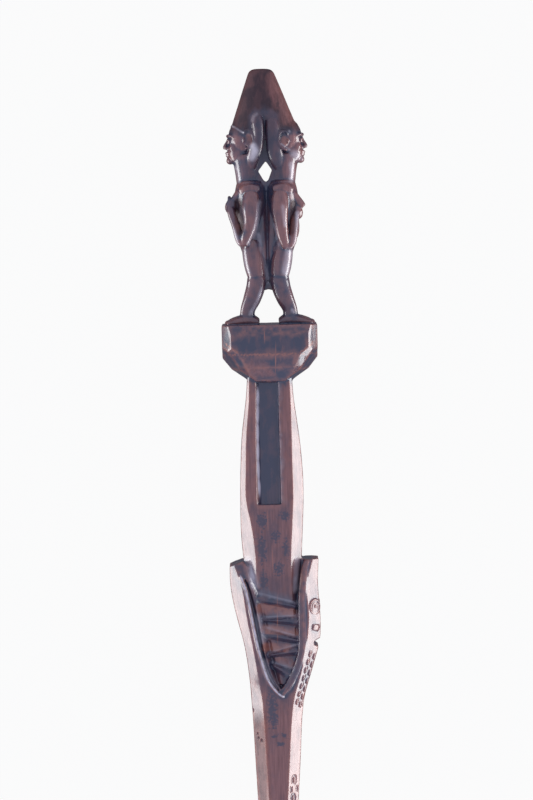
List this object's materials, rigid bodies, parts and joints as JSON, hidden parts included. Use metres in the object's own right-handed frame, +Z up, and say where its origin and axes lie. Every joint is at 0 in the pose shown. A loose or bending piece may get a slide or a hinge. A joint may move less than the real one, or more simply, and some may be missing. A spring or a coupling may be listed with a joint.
{
  "type": "ceremonial mace",
  "caption": "Carved wooden ceremonial mace: back-to-back figures under a tall cap, on a faceted bowl, above a shaft held in a crocodile's jaws and an eight-sided grip.",
  "frame": {"origin": "on the ground under the middle of the mace as it lies on its back", "axes": "+Y along the length towards the cap, +X towards the crocodile's upper jaw, +Z up out of the carved front"},
  "size_m": [0.0572, 0.6388, 0.0495],
  "materials": {
    "carved_wood": "hand-carved hardwood with a dark, glossy red-brown patina"
  },
  "bodies": {
    "root": {"carved_wood_mace": "carved_wood"}
  },
  "joints": []
}
